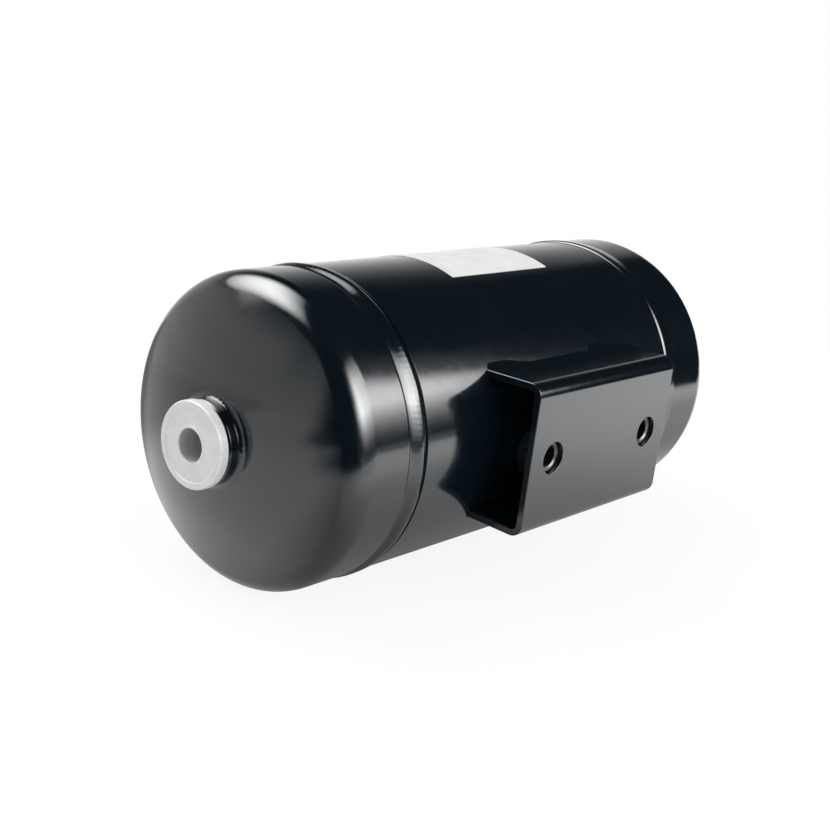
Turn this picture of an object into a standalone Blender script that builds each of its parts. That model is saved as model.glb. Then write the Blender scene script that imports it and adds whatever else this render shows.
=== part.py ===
"""Compressed-air reservoir: a welded steel tank with a bent side bracket and two plugged ports.

X runs along the tank, from the front port at -X to the rear port at +X. The bracket's mounting face
lies in the plane Y = 0 and faces -Y, and Z is up. The origin is the middle of that face.
"""
import math

import bmesh
import bpy

MM = 0.001

# Tank: a rolled shell with joggled ends, closed by two dished heads.
SHELL_DIAMETER = 127.0 * MM
WALL = 2.5 * MM
SEAM_SPACING = 183.4 * MM
SKIRT_LENGTH = 19.7 * MM
CROWN_RADIUS = 127.0 * MM
KNUCKLE_RADIUS = 12.7 * MM
JOGGLE_RAMP = 2.4 * MM
JOGGLE_LAP = 8.0 * MM
TANK_OFFSET = -4.0 * MM

# Weld beads.
SEAM_BEAD_WIDTH = 8.1 * MM
SEAM_BEAD_HEIGHT = 1.2 * MM
SEAM_TOE_DROP = 1.5 * MM
SEAM_CREST_SHARE = 0.65
SHELL_BEAD_WIDTH = 6.0 * MM
SHELL_BEAD_HEIGHT = 0.8 * MM
SHELL_BEAD_EDGE = 0.16 * MM
SHELL_BEAD_ANGLE = math.radians(-40.0)
BOSS_WELD_LEG = 2.2 * MM
BOSS_WELD_FULLNESS = 0.58
STITCH_LEG = 3.0 * MM
STITCH_LENGTH = 28.0 * MM
STITCH_INSET = 0.5 * MM
STITCH_CROWN = 0.4 * MM
STITCH_TAPER = 2.0 * MM
STITCH_END_SCALE = 0.4

# Port bosses and the plastic plugs pushed into them.
BOSS_DIAMETER = 34.0 * MM
BOSS_LENGTH = 16.0 * MM
BOSS_STANDOUT = 4.4 * MM
BOSS_CHAMFER = 0.8 * MM
PORT_BORE = 20.6 * MM
PLUG_FLANGE_DIAMETER = 34.2 * MM
PLUG_FLANGE_THICKNESS = 4.4 * MM
PLUG_EDGE_RADIUS = 0.8 * MM
PLUG_RIM_WIDTH = 2.6 * MM
PLUG_RIM_HEIGHT = 0.4 * MM
PLUG_SHANK_LENGTH = 12.0 * MM
PLUG_WALL = 3.7 * MM
PLUG_FLOOR = 2.0 * MM
PLUG_RIB_HEIGHT = 0.4 * MM
PLUG_RIB_WIDTH = 1.6 * MM
PLUG_RIB_COUNT = 2

# Bracket: one bent sheet, with a weld nut behind each bolt hole.
BRACKET_LENGTH = 100.0 * MM
BRACKET_HEIGHT = 64.0 * MM
BRACKET_REACH = 19.5 * MM
BRACKET_SHEET = 3.0 * MM
BRACKET_INNER_BEND = 2.5 * MM
BOLT_SPACING = 70.0 * MM
NUT_BORE = 9.0 * MM
NUT_PILOT_WALL = 1.75 * MM
NUT_PILOT_HEIGHT = 1.2 * MM
NUT_PILOT_CLEARANCE = 0.35 * MM
NUT_ACROSS_FLATS = 17.0 * MM
NUT_HEIGHT = 9.0 * MM
NUT_CHAMFER = 0.8 * MM

# Blank label on the upper side of the shell.
LABEL_LENGTH = 67.0 * MM
LABEL_HEIGHT = 42.0 * MM
LABEL_THICKNESS = 0.3 * MM
LABEL_SHIFT = 2.4 * MM

# Clearance between pieces that touch, and the fineness of round forms.
SEAT_GAP = 0.3 * MM
TANK_SEGMENTS = 60
SMALL_SEGMENTS = 36
NUT_SEGMENTS = 24
KNUCKLE_STEPS = 6
CROWN_STEPS = 4
SEAM_BEAD_STEPS = 3
SHELL_BEAD_STEPS = 4
LABEL_STEPS = 10
BEND_STEPS = 5
PLUG_EDGE_STEPS = 3
SMOOTH_ANGLE = math.radians(32.0)
MERGE_DISTANCE = 0.001 * MM

# Sizes that follow from those above.
SHELL_RADIUS = SHELL_DIAMETER / 2
TONGUE_RADIUS = SHELL_RADIUS - WALL - SEAT_GAP
SEAM_X = SEAM_SPACING / 2
JOGGLE_FOOT_X = SEAM_X - SEAM_BEAD_WIDTH / 2
BEAD_OUTER_X = SEAM_X + SEAM_BEAD_WIDTH / 2
SHOULDER_X = JOGGLE_FOOT_X - JOGGLE_RAMP
SKIRT_X = BEAD_OUTER_X + SEAT_GAP
TANGENT_X = SKIRT_X + SKIRT_LENGTH
BOSS_RADIUS = BOSS_DIAMETER / 2
BORE_RADIUS = PORT_BORE / 2
STANDOFF = SHELL_RADIUS + BRACKET_REACH
BOLT_HOLE_RADIUS = NUT_BORE / 2 + NUT_PILOT_WALL + NUT_PILOT_CLEARANCE


def crown_centre(crown, knuckle, radius):
    """Where a dished head's crown is centred on the axis, measured from the head's tangent line."""
    return -math.sqrt((crown - knuckle) ** 2 - (radius - knuckle) ** 2)


CROWN_CENTRE_X = TANGENT_X + crown_centre(CROWN_RADIUS, KNUCKLE_RADIUS, SHELL_RADIUS)
APEX_X = CROWN_CENTRE_X + CROWN_RADIUS
BOSS_FACE_X = APEX_X + BOSS_STANDOUT


def clear_scene():
    for old in list(bpy.data.objects):
        bpy.data.objects.remove(old, do_unlink=True)


def make_material(name, colour, roughness, metallic):
    material = bpy.data.materials.new(name)
    material.use_nodes = True
    shader = material.node_tree.nodes["Principled BSDF"]
    shader.inputs["Base Color"].default_value = (*colour, 1.0)
    shader.inputs["Roughness"].default_value = roughness
    shader.inputs["Metallic"].default_value = metallic
    return material


def make_empty(name, place):
    empty = bpy.data.objects.new(name, None)
    empty.location = place
    bpy.context.collection.objects.link(empty)
    return empty


def finish_object(name, bm, material, parent):
    """Turn a bmesh into a smooth-shaded object with its faces pointing out."""
    bmesh.ops.remove_doubles(bm, verts=bm.verts, dist=MERGE_DISTANCE)
    bmesh.ops.dissolve_degenerate(bm, dist=MERGE_DISTANCE, edges=bm.edges)
    bmesh.ops.recalc_face_normals(bm, faces=bm.faces)
    mesh = bpy.data.meshes.new(name)
    bm.to_mesh(mesh)
    bm.free()
    mesh.shade_smooth()
    mesh.set_sharp_from_angle(angle=SMOOTH_ANGLE)
    mesh.materials.append(material)
    made = bpy.data.objects.new(name, mesh)
    made.parent = parent
    bpy.context.collection.objects.link(made)
    return made


def arc(centre, radius, start, end, steps):
    """Points on a circular arc in a plane, from angle start to angle end."""
    turns = [start + (end - start) * i / steps for i in range(steps + 1)]
    return [(centre[0] + radius * math.cos(a), centre[1] + radius * math.sin(a)) for a in turns]


def revolve(name, outline, segments, material, parent):
    """Spin a closed outline of (along, radius) points about the local X axis."""
    bm = bmesh.new()
    verts = [bm.verts.new((x, 0.0, r)) for x, r in outline]
    edges = [bm.edges.new((verts[i - 1], verts[i])) for i in range(len(verts))]
    bmesh.ops.spin(bm, geom=verts + edges, cent=(0, 0, 0), axis=(1, 0, 0), angle=2 * math.pi,
                   steps=segments, use_merge=True)
    return finish_object(name, bm, material, parent)


def loft(name, rings, closed, material, parent):
    """Bridge rings of equal length. A closed loft meets itself, an open one gets flat ends."""
    bm = bmesh.new()
    loops = [[bm.verts.new(point) for point in ring] for ring in rings]
    count = len(loops[0])
    pairs = list(zip(loops, loops[1:]))
    if closed:
        pairs.append((loops[-1], loops[0]))
    for low, high in pairs:
        for i in range(count):
            bm.faces.new((low[i - 1], low[i], high[i], high[i - 1]))
    if not closed:
        bm.faces.new(loops[0])
        bm.faces.new(loops[-1])
    return finish_object(name, bm, material, parent)


def mirrored(outline, side):
    return [(side * x, r) for x, r in outline]


def make_shell(material, parent):
    """The rolled shell: a tube whose two ends step in so that they slide under the heads' skirts."""
    tongue_end = SKIRT_X + JOGGLE_LAP
    outside = [(SHOULDER_X, SHELL_RADIUS), (JOGGLE_FOOT_X, TONGUE_RADIUS), (tongue_end, TONGUE_RADIUS)]
    inside = [(x, r - WALL) for x, r in reversed(outside)]
    half = outside + inside
    outline = half + mirrored(reversed(half), -1)
    return revolve("shell", outline, TANK_SEGMENTS, material, parent)


def head_side(offset, hole_radius, knuckle_steps, crown_steps):
    """One face of a head from its skirt to its port hole, offset inwards from the outer face."""
    crown = CROWN_RADIUS - offset
    knuckle = KNUCKLE_RADIUS - offset
    knuckle_centre = (TANGENT_X, SHELL_RADIUS - KNUCKLE_RADIUS)
    tilt = math.atan2(knuckle_centre[1], TANGENT_X - CROWN_CENTRE_X)
    rim = math.asin(hole_radius / crown)
    points = [(SKIRT_X, SHELL_RADIUS - offset)]
    points += arc(knuckle_centre, knuckle, math.pi / 2, tilt, knuckle_steps)
    points += arc((CROWN_CENTRE_X, 0.0), crown, tilt, rim, crown_steps)[1:]
    return points


def make_head(name, side, material, parent):
    """A pressed dished head: straight skirt, knuckle, shallow crown and a hole for the port boss."""
    hole_radius = BOSS_RADIUS + SEAT_GAP
    outside = head_side(0.0, hole_radius, KNUCKLE_STEPS, CROWN_STEPS)
    inside = head_side(WALL, hole_radius, KNUCKLE_STEPS - 2, CROWN_STEPS - 2)
    return revolve(name, mirrored(outside + inside[::-1], side), TANK_SEGMENTS, material, parent)


def joggle_x(radius):
    """Where the clear space over a joggle's ramp begins along the axis, at a radius."""
    drop = SHELL_RADIUS - TONGUE_RADIUS
    ramp = SHOULDER_X + JOGGLE_RAMP * (SHELL_RADIUS - radius) / drop
    return ramp + SEAT_GAP * math.hypot(JOGGLE_RAMP, drop) / drop


def make_seam_weld(name, side, material, parent):
    """The bead that fills the joggled joint. Its crest leans to the shell and leaves a groove at the ramp."""
    base = TONGUE_RADIUS + SEAT_GAP
    crest_x = BEAD_OUTER_X - SEAM_CREST_SHARE * SEAM_BEAD_WIDTH
    crest = SHELL_RADIUS + SEAM_BEAD_HEIGHT
    inner_toe = SHELL_RADIUS - SEAM_TOE_DROP
    outline = [(BEAD_OUTER_X, base)]
    for i in range(SEAM_BEAD_STEPS):
        turn = i / SEAM_BEAD_STEPS * math.pi / 2
        outline.append((BEAD_OUTER_X + i / SEAM_BEAD_STEPS * (crest_x - BEAD_OUTER_X),
                        SHELL_RADIUS + math.sin(turn) * SEAM_BEAD_HEIGHT))
    for i in range(SEAM_BEAD_STEPS + 1):
        turn = i / SEAM_BEAD_STEPS * math.pi / 2
        outline.append((crest_x + i / SEAM_BEAD_STEPS * (joggle_x(inner_toe) - crest_x),
                        inner_toe + math.cos(turn) * (crest - inner_toe)))
    outline.append((joggle_x(base), base))
    return revolve(name, mirrored(outline, side), TANK_SEGMENTS, material, parent)


def arc_strip(radius, width, crowns, thickness):
    """Section of a strip lying round the tank: an inner arc, then an outer arc raised by crowns."""
    last = len(crowns) - 1
    turns = [width / radius * (i / last - 0.5) for i in range(last + 1)]
    inner = [(turn, radius) for turn in turns]
    outer = [(turn, radius + thickness + crown) for turn, crown in zip(turns, crowns)]
    return inner + outer[::-1]


def round_tank(section, middle, x):
    """Place a strip's section round the tank at x, with its middle turned from +Y towards +Z."""
    return [(x, r * math.cos(middle + turn), r * math.sin(middle + turn)) for turn, r in section]


def make_shell_weld(material, parent):
    """The straight bead that closes the rolled shell, on the side away from the bracket."""
    rise = SHELL_BEAD_HEIGHT - SHELL_BEAD_EDGE
    crowns = [rise * math.sin(math.pi * i / SHELL_BEAD_STEPS) for i in range(SHELL_BEAD_STEPS + 1)]
    section = arc_strip(SHELL_RADIUS + SEAT_GAP, SHELL_BEAD_WIDTH, crowns, SHELL_BEAD_EDGE)
    end = SHOULDER_X - SEAT_GAP
    rings = [round_tank(section, SHELL_BEAD_ANGLE, x) for x in (-end, end)]
    return loft("shell_seam_weld", rings, False, material, parent)


def make_label(material, parent):
    """A blank rectangular label laid round the top of the shell."""
    flat = [0.0] * (LABEL_STEPS + 1)
    section = arc_strip(SHELL_RADIUS + SEAT_GAP, LABEL_HEIGHT, flat, LABEL_THICKNESS)
    ends = (LABEL_SHIFT - LABEL_LENGTH / 2, LABEL_SHIFT + LABEL_LENGTH / 2)
    rings = [round_tank(section, math.pi / 2, x) for x in ends]
    return loft("label", rings, False, material, parent)


def make_port_boss(name, side, material, parent):
    """A turned ring set through the head, bored for the port thread."""
    inner_x = BOSS_FACE_X - BOSS_LENGTH
    cut = BOSS_CHAMFER
    outline = [
        (BOSS_FACE_X - cut, BORE_RADIUS),
        (BOSS_FACE_X, BORE_RADIUS + cut),
        (BOSS_FACE_X, BOSS_RADIUS - cut),
        (BOSS_FACE_X - cut, BOSS_RADIUS),
        (inner_x + cut, BOSS_RADIUS),
        (inner_x, BOSS_RADIUS - cut),
        (inner_x, BORE_RADIUS + cut),
        (inner_x + cut, BORE_RADIUS),
    ]
    return revolve(name, mirrored(outline, side), SMALL_SEGMENTS, material, parent)


def crown_x(radius):
    """How far along the axis the clear space over a head's crown begins, at a radius."""
    return CROWN_CENTRE_X + math.sqrt((CROWN_RADIUS + SEAT_GAP) ** 2 - radius ** 2)


def make_boss_weld(name, side, material, parent):
    """The fillet weld between a port boss and the head's crown."""
    root = BOSS_RADIUS + SEAT_GAP
    toe = root + BOSS_WELD_LEG
    top = crown_x(root) + BOSS_WELD_LEG
    bulge = BOSS_WELD_FULLNESS * BOSS_WELD_LEG
    outline = [
        (crown_x(root), root),
        (top, root),
        (crown_x(root) + bulge, root + bulge),
        (crown_x(toe), toe),
    ]
    return revolve(name, mirrored(outline, side), SMALL_SEGMENTS, material, parent)


def plug_outline():
    """A moulded cup with a wide flange. Zero is the flange's seat, and positive points out of the tank."""
    rib_radius = BORE_RADIUS - SEAT_GAP
    shank_radius = rib_radius - PLUG_RIB_HEIGHT
    recess_radius = rib_radius - PLUG_WALL
    flange_radius = PLUG_FLANGE_DIAMETER / 2
    tip = -PLUG_SHANK_LENGTH
    face = PLUG_FLANGE_THICKNESS
    edge = PLUG_EDGE_RADIUS
    outline = [(tip, 0.0), (tip, shank_radius - edge), (tip + edge, shank_radius)]
    pitch = (PLUG_SHANK_LENGTH - edge) / PLUG_RIB_COUNT
    for i in range(PLUG_RIB_COUNT):
        middle = tip + edge + pitch * (i + 0.5)
        outline += [(middle - PLUG_RIB_WIDTH / 2, shank_radius), (middle, rib_radius),
                    (middle + PLUG_RIB_WIDTH / 2, shank_radius)]
    outline += [(0.0, shank_radius), (0.0, flange_radius - edge)]
    outline += arc((edge, flange_radius - edge), edge, math.pi, math.pi / 2, PLUG_EDGE_STEPS - 1)[1:]
    outline += arc((face - edge, flange_radius - edge), edge, math.pi / 2, 0.0, PLUG_EDGE_STEPS)
    rim_inner = flange_radius - PLUG_RIM_WIDTH
    inner_face = face - PLUG_RIM_HEIGHT
    outline += [(face, rim_inner), (inner_face, rim_inner - PLUG_RIM_HEIGHT)]
    outline += [(inner_face, recess_radius + edge), (inner_face - edge, recess_radius)]
    outline += [(tip + PLUG_FLOOR, recess_radius), (tip + PLUG_FLOOR, 0.0)]
    return outline


def make_plug(name, side, material, parent):
    """A push-in plug. Its origin is on its own axis, at the seat of its flange."""
    made = revolve(name, mirrored(plug_outline(), side), SMALL_SEGMENTS, material, parent)
    made.location.x = side * (BOSS_FACE_X + SEAT_GAP)
    return made


def flange_end(height):
    """How deep a bracket flange reaches before it meets the shell, at a height from the bracket's middle."""
    return STANDOFF - math.sqrt((SHELL_RADIUS + SEAT_GAP) ** 2 - height ** 2)


def bracket_side(offset, steps):
    """One face of the bent sheet from its upper flange to its lower one, as (depth, height) points."""
    bend = BRACKET_INNER_BEND + BRACKET_SHEET - offset
    height = BRACKET_HEIGHT / 2 - offset
    bend_depth = BRACKET_SHEET + BRACKET_INNER_BEND
    bend_height = BRACKET_HEIGHT / 2 - bend_depth
    points = [(flange_end(height), height)]
    points += arc((bend_depth, bend_height), bend, math.pi / 2, math.pi, steps)
    points += arc((bend_depth, -bend_height), bend, math.pi, 1.5 * math.pi, steps)
    points.append((flange_end(height), -height))
    return points


def make_bolt_cutter(name, x, parent):
    """A plain round bar through the bracket's web, used only to cut a bolt hole."""
    bm = bmesh.new()
    reach = BRACKET_SHEET
    rings = []
    for y in (-reach, BRACKET_SHEET + reach):
        rings.append([bm.verts.new((x + a, y, b)) for a, b in
                      arc((0.0, 0.0), BOLT_HOLE_RADIUS, 0.0, 2 * math.pi, NUT_SEGMENTS)[:-1]])
    for i in range(NUT_SEGMENTS):
        bm.faces.new((rings[0][i - 1], rings[0][i], rings[1][i], rings[1][i - 1]))
    bm.faces.new(rings[0])
    bm.faces.new(rings[1])
    bmesh.ops.recalc_face_normals(bm, faces=bm.faces)
    mesh = bpy.data.meshes.new(name)
    bm.to_mesh(mesh)
    bm.free()
    cutter = bpy.data.objects.new(name, mesh)
    cutter.parent = parent
    cutter.hide_render = True
    cutter.display_type = "WIRE"
    bpy.context.collection.objects.link(cutter)
    return cutter


def make_bracket(material, parent):
    """A sheet bent to a channel, its flange edges cut to the shell, with two bolt holes in its web."""
    section = bracket_side(0.0, BEND_STEPS) + bracket_side(BRACKET_SHEET, BEND_STEPS - 1)[::-1]
    rings = [[(x, y, z) for y, z in section] for x in (-BRACKET_LENGTH / 2, BRACKET_LENGTH / 2)]
    made = loft("bracket", rings, False, material, parent)
    for end, side in (("front", -1), ("rear", 1)):
        cutter = make_bolt_cutter(end + "_bolt_cutter", side * BOLT_SPACING / 2, parent)
        cut = made.modifiers.new(end + "_bolt_hole", "BOOLEAN")
        cut.operation = "DIFFERENCE"
        cut.object = cutter
    return made


def hexagon(across_flats):
    """Points round a hexagon, with as many on each side."""
    points = []
    for i in range(NUT_SEGMENTS):
        turn = 2 * math.pi * i / NUT_SEGMENTS
        radius = across_flats / 2 / math.cos((turn % (math.pi / 3)) - math.pi / 6)
        points.append((radius * math.cos(turn), radius * math.sin(turn)))
    return points


def circle(radius):
    return arc((0.0, 0.0), radius, 0.0, 2 * math.pi, NUT_SEGMENTS)[:-1]


def make_weld_nut(name, x, material, parent):
    """A hexagon weld nut behind the web. Its round pilot stands in the bolt hole."""
    seat = BRACKET_SHEET + SEAT_GAP
    pilot = NUT_BORE / 2 + NUT_PILOT_WALL
    back = seat + NUT_HEIGHT
    sections = [
        (seat - NUT_PILOT_HEIGHT, circle(NUT_BORE / 2)),
        (seat - NUT_PILOT_HEIGHT, circle(pilot)),
        (seat, circle(pilot)),
        (seat, hexagon(NUT_ACROSS_FLATS)),
        (back - NUT_CHAMFER, hexagon(NUT_ACROSS_FLATS)),
        (back, hexagon(NUT_ACROSS_FLATS - 2 * NUT_CHAMFER)),
        (back, circle(NUT_BORE / 2)),
    ]
    rings = [[(x + a, y, b) for a, b in points] for y, points in sections]
    return loft(name, rings, True, material, parent)


def stitch_section(scale):
    """Fillet weld above the upper flange: its root, its toes on flange and shell, and a low crown."""
    base = BRACKET_HEIGHT / 2 + SEAT_GAP
    root = (flange_end(base), base)
    flange_toe = (root[0] - scale * STITCH_LEG, base)
    shell_height = base + scale * STITCH_LEG
    shell_toe = (flange_end(shell_height), shell_height)
    crown = ((flange_toe[0] + shell_toe[0]) / 2 - scale * STITCH_CROWN,
             (flange_toe[1] + shell_toe[1]) / 2 + scale * STITCH_CROWN)
    return [root, flange_toe, crown, shell_toe]


def make_stitch_weld(name, end, level, material, parent):
    """One of the four short welds that hold the bracket's flanges to the shell."""
    outer = BRACKET_LENGTH / 2 - STITCH_INSET
    inner = outer - STITCH_LENGTH
    stations = (
        (inner, STITCH_END_SCALE),
        (inner + STITCH_TAPER, 1.0),
        (outer - STITCH_TAPER, 1.0),
        (outer, STITCH_END_SCALE),
    )
    rings = []
    for x, scale in stations:
        rings.append([(end * x, y, level * z) for y, z in stitch_section(scale)])
    return loft(name, rings, False, material, parent)


def main():
    clear_scene()
    paint = make_material("black_paint", (0.012, 0.014, 0.016), 0.22, 0.0)
    plastic = make_material("plug_plastic", (0.80, 0.81, 0.80), 0.45, 0.0)
    paper = make_material("label_film", (0.86, 0.87, 0.86), 0.40, 0.0)
    steel = make_material("nut_steel", (0.10, 0.10, 0.10), 0.45, 0.8)

    bracket_frame = make_empty("bracket_frame", (0.0, 0.0, 0.0))
    tank_axis = make_empty("tank_axis", (TANK_OFFSET, STANDOFF, 0.0))
    tank_axis.parent = bracket_frame

    make_shell(paint, tank_axis)
    make_shell_weld(paint, tank_axis)
    make_label(paper, tank_axis)
    make_bracket(paint, bracket_frame)
    for end, side in (("front", -1), ("rear", 1)):
        make_head(end + "_head", side, paint, tank_axis)
        make_seam_weld(end + "_seam_weld", side, paint, tank_axis)
        make_port_boss(end + "_port_boss", side, paint, tank_axis)
        make_boss_weld(end + "_boss_weld", side, paint, tank_axis)
        make_plug(end + "_plug", side, plastic, tank_axis)
        make_weld_nut(end + "_weld_nut", side * BOLT_SPACING / 2, steel, bracket_frame)
        for level_name, level in (("upper", 1), ("lower", -1)):
            make_stitch_weld(level_name + "_" + end + "_bracket_weld", side, level, paint, bracket_frame)
    bpy.context.view_layer.update()


main()
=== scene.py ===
"""Looks of the compressed air reservoir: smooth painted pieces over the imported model, light and camera.

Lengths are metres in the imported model's frame: X along the tank, the bracket's mounting face in the
plane Y = 0 facing -Y, and Z up. Pieces of the tank are drawn as (outward, radius) points, measured along
and from the tank's axis, and serve both ends.
"""
import math
import random
from functools import reduce

import bmesh
import bpy
from mathutils import Matrix, Quaternion, Vector


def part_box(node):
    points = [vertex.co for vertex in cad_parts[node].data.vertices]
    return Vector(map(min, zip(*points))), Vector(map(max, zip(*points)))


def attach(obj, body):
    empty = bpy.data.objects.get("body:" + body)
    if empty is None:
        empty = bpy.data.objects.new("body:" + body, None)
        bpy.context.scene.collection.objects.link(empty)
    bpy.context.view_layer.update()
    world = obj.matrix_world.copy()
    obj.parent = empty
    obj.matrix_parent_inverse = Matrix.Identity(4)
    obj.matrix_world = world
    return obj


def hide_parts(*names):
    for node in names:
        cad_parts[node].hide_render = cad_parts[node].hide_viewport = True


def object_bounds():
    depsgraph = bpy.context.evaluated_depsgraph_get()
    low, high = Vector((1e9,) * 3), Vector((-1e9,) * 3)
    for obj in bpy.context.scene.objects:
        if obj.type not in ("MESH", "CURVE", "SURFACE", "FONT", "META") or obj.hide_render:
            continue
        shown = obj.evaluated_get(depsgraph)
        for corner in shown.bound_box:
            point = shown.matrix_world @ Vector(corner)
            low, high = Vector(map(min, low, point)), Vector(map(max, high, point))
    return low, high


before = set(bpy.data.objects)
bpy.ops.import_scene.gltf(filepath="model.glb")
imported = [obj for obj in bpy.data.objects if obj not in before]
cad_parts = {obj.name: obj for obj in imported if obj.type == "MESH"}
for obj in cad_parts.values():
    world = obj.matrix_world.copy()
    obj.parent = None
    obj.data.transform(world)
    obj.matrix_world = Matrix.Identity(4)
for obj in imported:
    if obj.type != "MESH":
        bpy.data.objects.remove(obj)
cad_low, cad_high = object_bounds()

MM = 0.001
TURN = 2 * math.pi
RANDOM = random.Random(11)
SIDES = (("front", -1), ("rear", 1))
LEVELS = (("upper", 1), ("lower", -1))

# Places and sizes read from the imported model.
shell_low, shell_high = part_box("shell")
shell_bead_low, shell_bead_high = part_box("shell_seam_weld")
boss_low, boss_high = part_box("rear_port_boss")
plug_low, plug_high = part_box("rear_plug")
bracket_low, bracket_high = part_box("bracket")
label_low, label_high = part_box("label")
AXIS = (shell_low + shell_high) / 2
SHELL_RADIUS = (shell_high.z - shell_low.z) / 2
SEAT_GAP = 0.3 * MM
SHOULDER = shell_bead_high.x - AXIS.x + SEAT_GAP
BEAD_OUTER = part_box("rear_seam_weld")[1].x - AXIS.x
SKIRT_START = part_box("rear_head")[0].x - AXIS.x
TONGUE_END = shell_high.x - AXIS.x
BOSS_INNER = boss_low.x - AXIS.x
BOSS_FACE = boss_high.x - AXIS.x
BOSS_RADIUS = (boss_high.z - boss_low.z) / 2
PLUG_TIP = plug_low.x - AXIS.x
PLUG_FACE = plug_high.x - AXIS.x
PLUG_RADIUS = (plug_high.z - plug_low.z) / 2
FLOOR_Z = cad_low.z

# Tank sizes that the boxes don't give.
WALL = 2.5 * MM
SKIRT_LENGTH = 19.7 * MM
CROWN_RADIUS = 127.0 * MM
KNUCKLE_RADIUS = 12.7 * MM
STEP_RUN = 0.6 * MM
STEP_START = {"front": SHOULDER + 1.6 * MM, "rear": SHOULDER + 0.2 * MM}
SHOULDER_ROUND = 0.12 * MM
SKIRT_ROUND = 0.5 * MM
SKIRT_EDGE_ROUND = {"front": 1.9 * MM, "rear": 0.0}
TANGENT = SKIRT_START + SKIRT_LENGTH
CROWN_RUN = math.sqrt((CROWN_RADIUS - KNUCKLE_RADIUS) ** 2 - (SHELL_RADIUS - KNUCKLE_RADIUS) ** 2)
CROWN_CENTRE = TANGENT - CROWN_RUN
TONGUE_RADIUS = SHELL_RADIUS - WALL

# Welds. A drift or swell is a random wave of sines: its size, and the fewest and most swings that a sine
# makes in one turn or along a straight weld.
RIPPLE_PITCH = 2.3 * MM
RIPPLE_HEIGHT = 0.022 * MM
RIPPLE_BOW = 0.55
RIPPLE_MAIN = 0.36
RIPPLE_LEAN = 0.14
WOBBLE_WAVES = 5
SEAM_REACH = {"front": 5.3 * MM, "rear": 8.1 * MM}
SEAM_TOE_DROP = {"front": 0.9 * MM, "rear": 0.0}
SEAM_RISE = 0.8 * MM
SEAM_BACK_ROUND = {"front": 3.4 * MM, "rear": 1.7 * MM}
SEAM_BACK_TURN = {"front": math.radians(55.0), "rear": math.radians(75.0)}
SEAM_DRIFT = (0.35 * MM, 5, 24)
SEAM_SWELL = (0.12 * MM, 5, 24)
GROOVE_DEPTH = 0.7 * MM
SHELL_BEAD_WIDTH = 6.0 * MM
SHELL_BEAD_HEIGHT = 0.9 * MM
SHELL_BEAD_SINK = 0.05 * MM
SHELL_BEAD_END_SHARE = 0.5
SHELL_BEAD_DRIFT = (0.5 * MM, 3, 14)
BOSS_WELD_LEG = 2.2 * MM
BOSS_WELD_HEIGHT = 0.9 * MM
BOSS_WELD_HOLLOW = 0.06
BOSS_WELD_ROOT = 1.0 * MM
BOSS_WELD_INSET = 0.2 * MM
BOSS_WELD_RIPPLE = 3.0
BOSS_WELD_DRIFT = (0.14 * MM, 3, 9)
BOSS_WELD_LAG = 1.0
STITCH_LEG = 2.2 * MM
STITCH_START = 2.4 * MM
STITCH_BLUNT = 0.02
STITCH_RUNOUT = 18.0 * MM
STITCH_TIP = 0.1
STITCH_HOLLOW = 0.12
STITCH_ROOT = 1.0 * MM
STITCH_HEEL = (0.5 * MM, -0.3 * MM)
STITCH_RIPPLE = 0.5
STITCH_SWELL = (0.06, 1, 4)

# Bosses, weld nuts and their threads.
PORT_PITCH = 1.5 * MM
PORT_BORE = 20.6 * MM
BOSS_CHAMFER = 0.8 * MM
BOSS_BORE_ROUND = 0.15 * MM
BOSS_EDGE_ROUND = 0.3 * MM
NUT_PITCH = 1.5 * MM
NUT_BORE = 9.0 * MM
NUT_BORE_CHAMFER = 0.6 * MM
NUT_PILOT_RADIUS = 6.25 * MM
NUT_PILOT_HEIGHT = 1.2 * MM
NUT_PILOT_CHAMFER = 0.2 * MM
NUT_CHAMFER = 0.8 * MM
THREAD_DEPTH_SHARE = 0.55
THREAD_STEEPNESS = 1.3
THREAD_FLAT = 0.12

# Plugs.
PLUG_FLANGE = 4.4 * MM
PLUG_SEAT = PLUG_FACE - PLUG_FLANGE
PLUG_CLEARANCE = 0.3 * MM
PLUG_RIBS = 2
PLUG_RIB_HEIGHT = 0.4 * MM
PLUG_RIB_HALF_WIDTH = 0.8 * MM
PLUG_TIP_ROUND = 0.8 * MM
PLUG_NECK_ROUND = 0.3 * MM
PLUG_BACK_ROUND = 0.7 * MM
PLUG_FACE_ROUND = 0.9 * MM
PLUG_RIM_WIDTH = 2.6 * MM
PLUG_RIM_HEIGHT = 0.4 * MM
PLUG_RIM_ROUND = 0.3 * MM
PLUG_RIM_FOOT_ROUND = 0.25 * MM
PLUG_LIP_WIDTH = 1.2 * MM
PLUG_LIP_HEIGHT = 0.25 * MM
PLUG_LIP_ROUND = 0.2 * MM
CUP_RADIUS = 6.3 * MM
CUP_EDGE = 0.5 * MM
CUP_FLARE = 0.1 * MM
CUP_TAPER = 0.25 * MM
CUP_MOUTH_ROUND = 0.5 * MM
CUP_ROUND = 0.8 * MM
CUP_FLOOR = 2.0 * MM
GATE_RADIUS = 1.6 * MM
GATE_TOP_RADIUS = 1.4 * MM
GATE_HEIGHT = 0.5 * MM
GATE_ROUND = 0.15 * MM

# Bracket and label. The film lies from its lift to its top above the shell.
SHEET = 3.0 * MM
INNER_BEND = 2.5 * MM
FLANGE_DROP = 0.6 * MM
BOLT_HOLE_RADIUS = 6.6 * MM
SHEAR_ROUND = 0.35 * MM
SHEAR_ANGLE = math.radians(50.0)
LABEL_CORNER = 0.6 * MM
LABEL_LIFT = 0.02 * MM
LABEL_TOP = 0.16 * MM

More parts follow.
